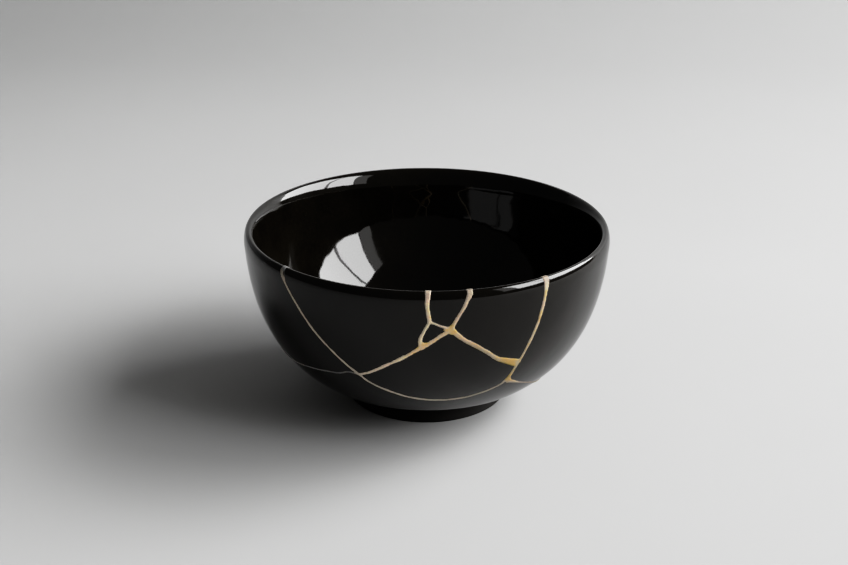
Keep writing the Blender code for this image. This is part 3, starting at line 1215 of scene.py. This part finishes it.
    def drawn_to_hem(
        self, depth: np.ndarray, kept: np.ndarray, row: np.ndarray, column: np.ndarray
    ) -> tuple[np.ndarray, np.ndarray, np.ndarray]:
        """The places of the bead's corners, with those on its border moved out to its smooth hem.

        Args:
            depth: Depth by row and column.
            kept: The cells that are kept.
            row: Each corner's row.
            column: Each corner's column.

        Returns:
            Bearings in degrees, runs and depths.
        """
        inside = depth[row, column]
        bearing = column * 360.0 / depth.shape[1]
        run = row * self.cell
        full = np.zeros((kept.shape[0] + 2, kept.shape[1]), bool)
        full[1:-1] = kept
        around = full[1:] & full[:-1] & np.roll(full[1:], 1, axis=1) & np.roll(full[:-1], 1, axis=1)
        border = ~around[row, column]
        columns = depth.shape[1]
        left, right = (column - 1) % columns, (column + 1) % columns
        below, above = np.maximum(row - 1, 0), np.minimum(row + 1, depth.shape[0] - 1)
        radius = np.interp(run, self.glaze.run, self.glaze.radius)
        across = 2.0 * math.pi * radius / columns
        east = (depth[row, right] - depth[row, left]) / (2.0 * across)
        north = (depth[above, column] - depth[below, column]) / ((above - below) * self.cell)
        steep = np.maximum(east**2 + north**2, self.least_steepness)
        most = self.hem_travel * self.cell
        travel = np.clip(-self.hem - inside, -most, most) / steep
        travel = np.where(border, travel, 0.0)
        moved_bearing = bearing + np.degrees(travel * east / radius)
        moved_run = np.clip(run + travel * north, 0.0, self.glaze.run[-1])
        return moved_bearing, moved_run, np.where(border, -self.hem, inside)

    def relief(self, inside: float) -> float:
        """The bead's height over the glaze.

        Args:
            inside: The depth inside its edge, negative outside.

        Returns:
            The height, rounded at the shoulder and level past it.
        """
        if inside < 0.0:
            return 2.0 * self.rise / self.shoulder * inside
        share = min(1.0, inside / self.shoulder)
        return self.rise * (1.0 - (1.0 - share) ** 2)

    def ribs(self) -> bpy.types.Mesh:
        """The lacquer inside the cracks, trimmed to just under the glaze.

        Returns:
            A closed mesh.
        """
        trimmed = self.form.turned()
        shape = bmesh.new()
        shape.from_mesh(trimmed)
        shape.normal_update()
        for corner in shape.verts:
            corner.co -= self.rib_depth * corner.normal
        shape.to_mesh(trimmed)
        shape.free()
        return joined(trimmed, [self.cracks.network(self.rib_share)], "INTERSECT")

    def build(self, finish: bpy.types.Material) -> bpy.types.Object:
        """Lays the gold.

        Args:
            finish: The gold lacquer.

        Returns:
            The gold, one piece.
        """
        mesh = joined(self.bead(), [self.ribs()], "UNION")
        mesh.shade_smooth()
        mesh.set_sharp_from_angle(angle=self.sharp_angle)
        mesh.materials.clear()
        mesh.materials.append(finish)
        piece = held("gold_bead_seams", mesh)
        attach(piece, "root")
        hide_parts("gold_lacquer_seams")
        mesh.calc_loop_triangles()
        LOG.info("gold_bead_seams: %d triangles", len(mesh.loop_triangles))
        return piece


@dataclass
class NodeSheet:
    """A node tree being wired up."""

    tree: bpy.types.NodeTree

    def add(
        self, kind: str, settings: dict | None = None, inputs: dict | None = None
    ) -> bpy.types.Node:
        """Adds a node.

        Args:
            kind: The node's type.
            settings: Values for the node's own properties.
            inputs: Values or sockets for its inputs, by name or number.

        Returns:
            The node.
        """
        node = self.tree.nodes.new(kind)
        for name, value in (settings or {}).items():
            setattr(node, name, value)
        for name, value in (inputs or {}).items():
            if isinstance(value, bpy.types.NodeSocket):
                self.tree.links.new(value, node.inputs[name])
            else:
                node.inputs[name].default_value = value
        return node

    def maths(
        self, operation: str, first: Socket | float, second: Socket | float, clamp: bool = False
    ) -> Socket:
        """The result of a sum on two values."""
        settings = {"operation": operation, "use_clamp": clamp}
        return self.add("ShaderNodeMath", settings, {0: first, 1: second}).outputs[0]

    def ranged(
        self, value: Socket, low: float, high: float, to_low: float = 0.0, to_high: float = 1.0
    ) -> Socket:
        """A value carried from one range into another, held at the ends."""
        ends = {"From Min": low, "From Max": high, "To Min": to_low, "To Max": to_high}
        return self.add("ShaderNodeMapRange", {"clamp": True}, {"Value": value, **ends}).outputs[0]

    def noise(self, place: Socket, scale: Socket, detail: float) -> Socket:
        """A noise texture's value."""
        inputs = {"Vector": place, "Scale": scale, "Detail": detail}
        return self.add("ShaderNodeTexNoise", None, inputs).outputs[0]

    def bump(self, strength: float, distance: float, height: Socket) -> Socket:
        """The normal of a bumpy surface."""
        inputs = {"Strength": strength, "Distance": distance, "Height": height}
        return self.add("ShaderNodeBump", None, inputs).outputs[0]

    def mixed(self, share: Socket, first: tuple | Socket, second: tuple | Socket) -> Socket:
        """A colour between two others.

        Args:
            share: How much of the second there is.
            first: The first colour.
            second: The second colour.

        Returns:
            The mixed colour.
        """
        node = self.add("ShaderNodeMix", {"data_type": "RGBA"})
        for name, value in ((0, share), (6, first), (7, second)):
            if isinstance(value, bpy.types.NodeSocket):
                self.tree.links.new(value, node.inputs[name])
            else:
                node.inputs[name].default_value = (*value, 1.0)
        return node.outputs[2]


def new_group(
    name: str, inputs: dict[str, tuple[str, float]], outputs: dict[str, str]
) -> NodeSheet:
    """An empty shader node group with named sockets.

    Args:
        name: The group's name.
        inputs: Each input's socket type and default.
        outputs: Each output's socket type.

    Returns:
        The group's sheet.
    """
    tree = bpy.data.node_groups.new(name, "ShaderNodeTree")
    for title, (kind, default) in inputs.items():
        socket = tree.interface.new_socket(title, in_out="INPUT", socket_type=kind)
        if kind == "NodeSocketFloat":
            socket.default_value = default
    for title, kind in outputs.items():
        tree.interface.new_socket(title, in_out="OUTPUT", socket_type=kind)
    return NodeSheet(tree)


def clouding_group() -> bpy.types.NodeTree:
    """Soft cloudy variation with a fine grain in it, as a mask.

    Returns:
        The group: Place, Cloud Scale, Grain Scale and Grain Share in, Mask out.
    """
    number = "NodeSocketFloat"
    sheet = new_group(
        "clouding",
        {
            "Place": ("NodeSocketVector", 0.0),
            "Cloud Scale": (number, 60.0),
            "Grain Scale": (number, 900.0),
            "Grain Share": (number, 0.3),
        },
        {"Mask": number},
    )
    given = sheet.add("NodeGroupInput").outputs
    cloud = sheet.noise(given["Place"], given["Cloud Scale"], 4.0)
    grain = sheet.noise(given["Place"], given["Grain Scale"], 2.0)
    share = sheet.maths("MULTIPLY", sheet.maths("SUBTRACT", grain, cloud), given["Grain Share"])
    mask = sheet.maths("ADD", cloud, share, clamp=True)
    sheet.add("NodeGroupOutput", None, {"Mask": mask})
    return sheet.tree


def ripple_group() -> bpy.types.NodeTree:
    """The slight unevenness of a flowed or brushed surface, as a height.

    Returns:
        The group: Place, Wave Scale, Wave Height, Grain Scale and Grain Height in, Height out.
    """
    number = "NodeSocketFloat"
    sheet = new_group(
        "ripple",
        {
            "Place": ("NodeSocketVector", 0.0),
            "Wave Scale": (number, 90.0),
            "Wave Height": (number, 1.0),
            "Grain Scale": (number, 900.0),
            "Grain Height": (number, 0.1),
        },
        {"Height": number},
    )
    given = sheet.add("NodeGroupInput").outputs
    wave = sheet.noise(given["Place"], given["Wave Scale"], 1.0)
    grain = sheet.noise(given["Place"], given["Grain Scale"], 3.0)
    high = sheet.maths("MULTIPLY", wave, given["Wave Height"])
    fine = sheet.maths("MULTIPLY", grain, given["Grain Height"])
    sheet.add("NodeGroupOutput", None, {"Height": sheet.maths("ADD", high, fine)})
    return sheet.tree


@dataclass(frozen=True)
class Effects:
    """The node groups that several finishes share."""

    clouding: bpy.types.NodeTree
    ripple: bpy.types.NodeTree


def new_material(name: str) -> tuple[bpy.types.Material, NodeSheet, bpy.types.Node, Socket]:
    """A material with its shader and the place on the object.

    Args:
        name: The material's name.

    Returns:
        The material, its sheet, its Principled shader and the place.
    """
    material = bpy.data.materials.new(name)
    material.use_nodes = True
    sheet = NodeSheet(material.node_tree)
    shader = material.node_tree.nodes["Principled BSDF"]
    place = sheet.add("ShaderNodeTexCoord").outputs["Object"]
    return material, sheet, shader, place


def group_node(sheet: NodeSheet, group: bpy.types.NodeTree, inputs: dict) -> Socket:
    """A shared group placed in a material with its own values.

    Args:
        sheet: The material's sheet.
        group: The group.
        inputs: Values or sockets for its inputs.

    Returns:
        The group's one output.
    """
    node = sheet.add("ShaderNodeGroup", {"node_tree": group}, inputs)
    return node.outputs[0]


@dataclass(frozen=True)
class BlackGlaze:
    """Glossy black glaze, which ends above a matt black foot."""

    effects: Effects
    deep: tuple[float, float, float] = (0.0044, 0.0038, 0.0030)
    thin: tuple[float, float, float] = (0.0080, 0.0069, 0.0053)
    clay: tuple[float, float, float] = (0.0060, 0.0050, 0.0044)
    gloss: float = 0.035
    haze: float = 0.085
    clay_roughness: float = 0.85
    clay_line: float = 0.0055
    clay_edge: float = 0.0002
    clay_wander: float = 0.0006
    bumpiness: float = 0.16
    bump_height: float = 0.0006
    ior: float = 1.50

    def material(self) -> bpy.types.Material:
        """The glaze and the bare clay of the foot.

        Returns:
            The material.
        """
        material, sheet, shader, place = new_material("black_glaze_finish")
        clouds = group_node(
            sheet,
            self.effects.clouding,
            {"Place": place, "Cloud Scale": 55.0, "Grain Scale": 700.0, "Grain Share": 0.35},
        )
        height = sheet.add("ShaderNodeSeparateXYZ", None, {"Vector": place}).outputs["Z"]
        wavy = sheet.maths("ADD", height, sheet.maths("MULTIPLY", clouds, self.clay_wander))
        bare = sheet.ranged(wavy, self.clay_line, self.clay_line + self.clay_edge, 1.0, 0.0)
        glaze = sheet.mixed(sheet.ranged(clouds, 0.35, 0.65), self.deep, self.thin)
        colour = sheet.mixed(bare, glaze, self.clay)
        sheet.tree.links.new(colour, shader.inputs["Base Color"])
        gloss = sheet.ranged(clouds, 0.35, 0.70, self.gloss, self.haze)
        rough = sheet.maths("MAXIMUM", gloss, sheet.maths("MULTIPLY", bare, self.clay_roughness))
        sheet.tree.links.new(rough, shader.inputs["Roughness"])
        ripple = group_node(
            sheet,
            self.effects.ripple,
            {"Place": place, "Wave Scale": 110.0, "Grain Scale": 1500.0, "Grain Height": 0.02},
        )
        bump = sheet.bump(self.bumpiness, self.bump_height, ripple)
        sheet.tree.links.new(bump, shader.inputs["Normal"])
        shader.inputs["IOR"].default_value = self.ior
        return material


@dataclass(frozen=True)
class GoldLacquer:
    """Gold powder on lacquer: yellow where it lies thick, pale along seams, grey where rubbed."""

    effects: Effects
    thick: tuple[float, float, float] = (1.0, 0.72, 0.20)
    rosy: tuple[float, float, float] = (0.95, 0.76, 0.60)
    straw: tuple[float, float, float] = (0.91, 0.82, 0.60)
    dull: tuple[float, float, float] = (0.185, 0.184, 0.183)
    # Painted shade: these darken the gold's colour towards +X, the window side.
    window_side_painted_shade: float = 0.45
    window_side_shade_from: float = -0.013
    window_side_shade_to: float = 0.020
    metallic: float = 0.25
    satin: float = 0.60
    chalky: float = 0.78
    patchiness: float = 0.16
    pale_at: float = 0.75
    gold_from: float = 0.82
    gold_to: float = 0.98
    bumpiness: float = 0.35
    bump_height: float = 0.00008

    def material(self) -> bpy.types.Material:
        """The gold, toned by the bead's own tone, with painted shade that darkens it towards the
        window.

        Returns:
            The material.
        """
        material, sheet, shader, place = new_material("gold_lacquer_finish")
        clouds = group_node(
            sheet,
            self.effects.clouding,
            {"Place": place, "Cloud Scale": 420.0, "Grain Scale": 2600.0, "Grain Share": 0.5},
        )
        tone = sheet.add("ShaderNodeAttribute", {"attribute_name": "tone"}).outputs["Fac"]
        patchy = sheet.ranged(clouds, 0.30, 0.70, -self.patchiness, self.patchiness)
        share = sheet.maths("ADD", tone, patchy, clamp=True)
        drift = group_node(
            sheet,
            self.effects.clouding,
            {"Place": place, "Cloud Scale": 190.0, "Grain Scale": 800.0, "Grain Share": 0.3},
        )
        pale = sheet.mixed(sheet.ranged(drift, 0.40, 0.60), self.rosy, self.straw)
        worn = sheet.mixed(sheet.ranged(share, 0.0, self.pale_at), self.dull, pale)
        gold = sheet.mixed(sheet.ranged(share, self.gold_from, self.gold_to), worn, self.thick)
        # Painted shade: the gold's colour darkens towards +X, the window side.
        across = sheet.add("ShaderNodeSeparateXYZ", None, {"Vector": place}).outputs["X"]
        painted_window_shade = sheet.ranged(across, self.window_side_shade_from, self.window_side_shade_to, 0.0, 1.0 - self.window_side_painted_shade)
        colour = sheet.mixed(painted_window_shade, gold, (0.0, 0.0, 0.0))
        sheet.tree.links.new(colour, shader.inputs["Base Color"])
        rough = sheet.ranged(clouds, 0.30, 0.70, self.satin, self.chalky)
        sheet.tree.links.new(rough, shader.inputs["Roughness"])
        ripple = group_node(
            sheet,
            self.effects.ripple,
            {"Place": place, "Wave Scale": 700.0, "Grain Scale": 4200.0, "Grain Height": 0.3},
        )
        bump = sheet.bump(self.bumpiness, self.bump_height, ripple)
        sheet.tree.links.new(bump, shader.inputs["Normal"])
        shader.inputs["Metallic"].default_value = self.metallic
        return material


@dataclass(frozen=True)
class PaleFloor:
    """A plain pale matt floor with painted shade that darkens it far off, and light again above on
    the backdrop.
    """

    effects: Effects
    light: tuple[float, float, float] = (0.435, 0.435, 0.435)
    shade: tuple[float, float, float] = (0.405, 0.405, 0.405)
    # Painted shade: the far colour darkens the floor towards the back.
    far: tuple[float, float, float] = (0.290, 0.290, 0.290)
    far_painted_shade_from: float = 0.14
    far_painted_shade_to: float = 0.95
    lifts_from: float = 0.09
    lifts_to: float = 0.22

    def material(self) -> bpy.types.Material:
        """The floor's even matt surface.

        Returns:
            The material.
        """
        material, sheet, shader, place = new_material("pale_floor_finish")
        clouds = group_node(
            sheet,
            self.effects.clouding,
            {"Place": place, "Cloud Scale": 6.0, "Grain Scale": 900.0, "Grain Share": 0.25},
        )
        spot = sheet.add("ShaderNodeSeparateXYZ", None, {"Vector": place}).outputs
        # Painted shade: the floor's colour darkens towards the back.
        falling = sheet.ranged(spot["Y"], self.far_painted_shade_from, self.far_painted_shade_to)
        lifting = sheet.ranged(spot["Z"], self.lifts_from, self.lifts_to)
        near = sheet.mixed(clouds, self.shade, self.light)
        colour = sheet.mixed(lifting, sheet.mixed(falling, near, self.far), self.light)
        sheet.tree.links.new(colour, shader.inputs["Base Color"])
        rough = sheet.ranged(clouds, 0.3, 0.7, 0.86, 0.94)
        sheet.tree.links.new(rough, shader.inputs["Roughness"])
        shader.inputs["Specular IOR Level"].default_value = 0.2
        return material


@dataclass(frozen=True)
class Pane:
    """One lit part of the window: its sides along Y, its foot and top, and its share of light."""

    near: float
    far: float
    foot: float
    top: float
    share: float = 1.0


@dataclass
class Studio:
    """The floor, a tall window of soft light on the right, and the camera."""

    effects: Effects
    floor_reach: float = 3.0
    backdrop_from: float = 0.62
    backdrop_bend: float = 0.55
    backdrop_top: float = 1.3
    window_away: float = 2.0
    panes: tuple[Pane, ...] = (
        Pane(-2.05, -1.45, 0.57, 2.65, 0.11),
        Pane(-1.40, -0.485, 0.57, 2.65),
        Pane(-0.415, 1.5, 0.57, 2.65),
    )
    radiance: float = 10.6
    surround: float = 0.122
    tone_curve: tuple[tuple[float, float], ...] = (
        (0.0, 0.0),
        (0.010, 0.0025),
        (0.030, 0.014),
        (0.090, 0.083),
        (0.25, 0.25),
        (0.5, 0.64),
        (0.75, 0.86),
        (1.0, 1.0),
    )
    lens: float = 50.0
    sensor: float = 36.0
    aim: tuple[float, float, float] = (0.0, 0.0, 0.035)
    distance: float = 0.50169
    elevation: float = math.radians(24.21)
    roll: float = math.radians(0.24)
    shift: tuple[float, float] = (-0.0031, 0.0334)

    def floor(self) -> bpy.types.Object:
        """The pale floor, which sweeps up behind the bowl.

        Returns:
            The floor.
        """
        turns = np.radians(np.linspace(0.0, 90.0, 25))
        bend = self.backdrop_bend
        sweep = [
            (self.backdrop_from + bend * math.sin(turn), bend * (1.0 - math.cos(turn)))
            for turn in turns
        ]
        back = self.backdrop_from + bend
        line = [(-self.floor_reach, 0.0), *sweep, (back, self.backdrop_top)]
        mesh = bpy.data.meshes.new("pale_floor")
        reach = self.floor_reach
        corners = [(side, along, up) for along, up in line for side in (-reach, reach)]
        faces = [(2 * i, 2 * i + 1, 2 * i + 3, 2 * i + 2) for i in range(len(line) - 1)]
        mesh.from_pydata(corners, [], faces)
        mesh.shade_smooth()
        mesh.materials.append(PaleFloor(self.effects).material())
        piece = held("pale_floor", mesh)
        return piece

    def light(self, name: str, pane: Pane) -> bpy.types.Object:
        """The light of one part of the window.

        Args:
            name: The light's name.
            pane: The part's sides.

        Returns:
            The light.
        """
        width, tall = pane.far - pane.near, pane.top - pane.foot
        light = bpy.data.lights.new(name, "AREA")
        light.shape = "RECTANGLE"
        light.size = width
        light.size_y = tall
        light.energy = math.pi * width * tall * self.radiance * pane.share
        holder = bpy.data.objects.new(name, light)
        middle, high = (pane.near + pane.far) / 2.0, (pane.foot + pane.top) / 2.0
        centre = Vector((self.window_away, middle, high))
        axes = Matrix(((0.0, 0.0, 1.0), (1.0, 0.0, 0.0), (0.0, 1.0, 0.0)))
        holder.matrix_world = Matrix.Translation(centre) @ axes.to_4x4()
        bpy.context.scene.collection.objects.link(holder)
        return holder

    def world(self) -> None:
        """A dim, even surround."""
        world = bpy.data.worlds.new("dim_surround")
        world.use_nodes = True
        background = world.node_tree.nodes["Background"]
        background.inputs["Color"].default_value = (1.0, 0.99, 0.97, 1.0)
        background.inputs["Strength"].default_value = self.surround
        bpy.context.scene.world = world

    def camera(self) -> bpy.types.Object:
        """The camera, above the front and a little above the rim.

        Returns:
            The scene's camera.
        """
        lens = bpy.data.cameras.new("front_camera")
        lens.lens = self.lens
        lens.sensor_width = self.sensor
        lens.shift_x, lens.shift_y = self.shift
        lens.clip_start = 0.01
        lens.dof.use_dof = False
        holder = bpy.data.objects.new("front_camera", lens)
        back = Vector((0.0, -math.cos(self.elevation), math.sin(self.elevation)))
        turn = (-back).to_track_quat("-Z", "Y").to_matrix().to_4x4()
        place = Matrix.Translation(Vector(self.aim) + self.distance * back)
        holder.matrix_world = place @ turn @ Matrix.Rotation(self.roll, 4, "Z")
        bpy.context.scene.collection.objects.link(holder)
        bpy.context.scene.camera = holder
        return holder

    def build(self) -> None:
        """Sets up the floor, the light and the camera."""
        self.floor()
        for number, pane in enumerate(self.panes, 1):
            self.light(f"window_pane_{number}", pane)
        self.world()
        self.camera()
        self.tones()
        LOG.info("studio: floor, %d window panes, camera", len(self.panes))

    def tones(self) -> None:
        """Sets the picture's tones: deep blacks and bright highlights, as on a contrasty print."""
        view = bpy.context.scene.view_settings
        view.view_transform = "Standard"
        view.look = "None"
        view.use_curve_mapping = True
        curve = view.curve_mapping.curves[3]
        curve.points[0].location = self.tone_curve[0]
        curve.points[-1].location = self.tone_curve[-1]
        for spot in self.tone_curve[1:-1]:
            curve.points.new(*spot)
        view.curve_mapping.update()


def corners(bounds: tuple[Vector, Vector]) -> list[list[float]]:
    """A box's lowest and highest corner as plain lists."""
    return [list(corner) for corner in bounds]


def main() -> None:
    """Builds the bowl's looks and the studio around it."""
    logging.basicConfig(level=logging.INFO, format="%(name)s: %(message)s")
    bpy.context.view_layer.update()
    _, back_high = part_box("back_wall_shard")
    effects = Effects(clouding_group(), ripple_group())
    form = BowlForm(rim_radius=back_high.x, height=back_high.z)
    glaze = Glaze(form)
    cracks = CrackMap(form, glaze)
    Studio(effects).build()
    Shards(form, cracks).build(BlackGlaze(effects).material())
    GoldSeams(form, glaze, cracks).build(GoldLacquer(effects).material())


if __name__ == "__main__":
    main()
